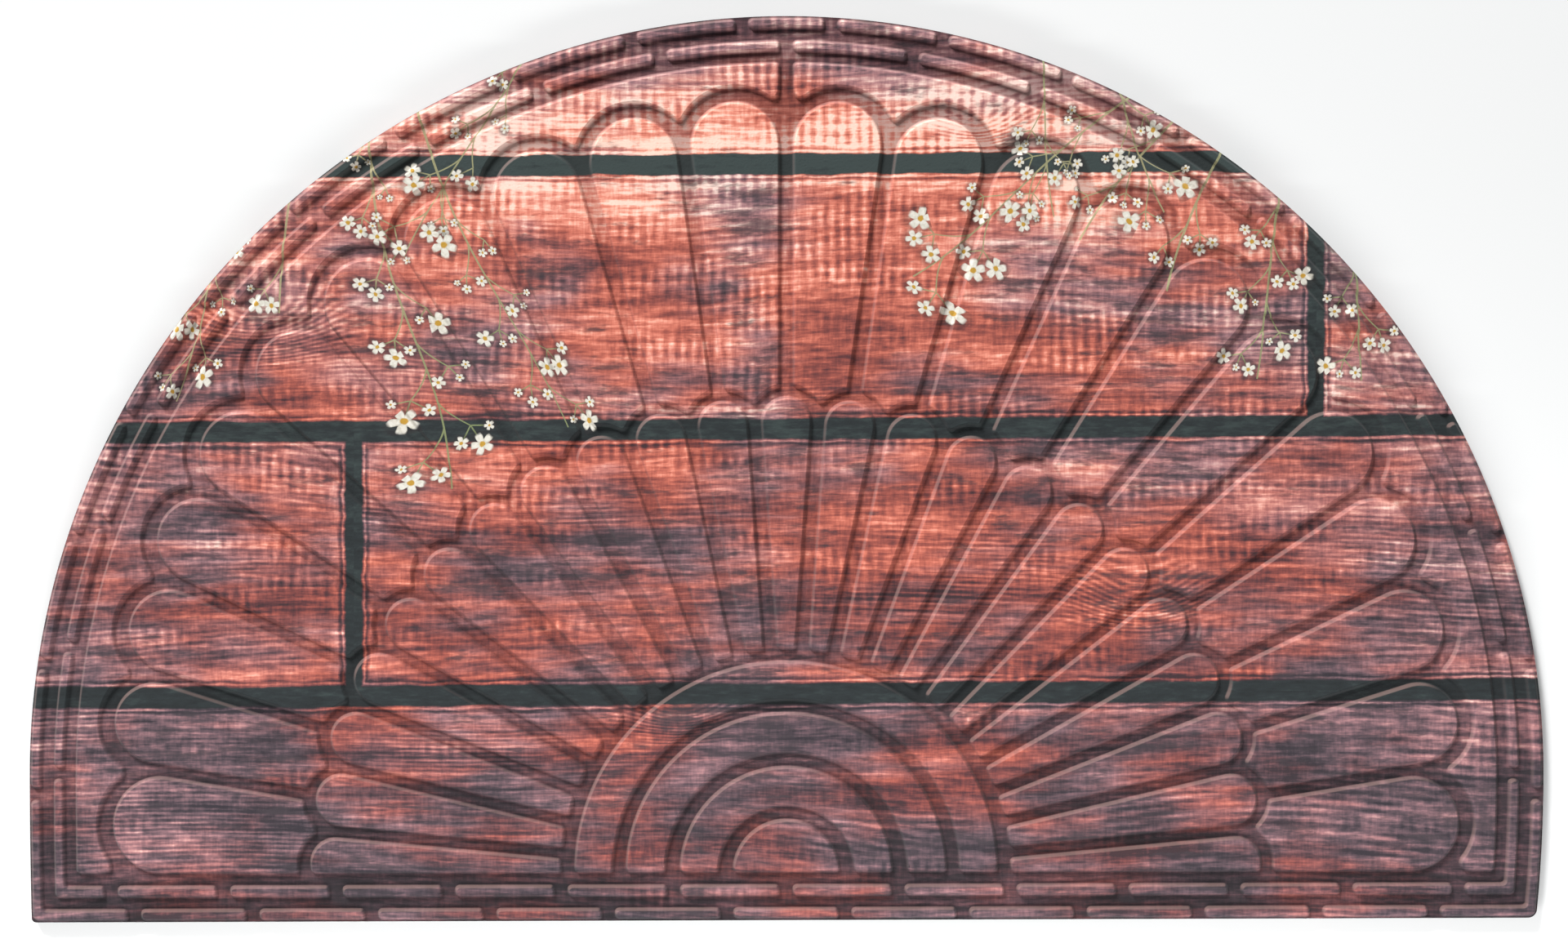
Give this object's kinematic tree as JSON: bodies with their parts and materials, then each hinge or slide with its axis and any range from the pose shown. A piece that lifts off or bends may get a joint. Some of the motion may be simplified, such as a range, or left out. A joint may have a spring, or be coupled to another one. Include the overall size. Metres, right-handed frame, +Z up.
{
  "type": "half round doormat",
  "caption": "Half round doormat: a printed fibre face with a moulded fan and brick border on a rubber base.",
  "frame": {"origin": "on the floor, under the middle of the mat's bounding box", "axes": "+X along the straight edge, +Y towards the top of the arch, +Z up out of the printed face"},
  "size_m": [0.75, 0.4492, 0.0075],
  "materials": {
    "rubber_base": "matt black moulded rubber",
    "printed_face": "short matt fibre, printed as weathered red-brown boards with small cream flowers"
  },
  "bodies": {
    "root": {"rubber_base": "rubber_base", "printed_face": "printed_face"}
  },
  "joints": []
}
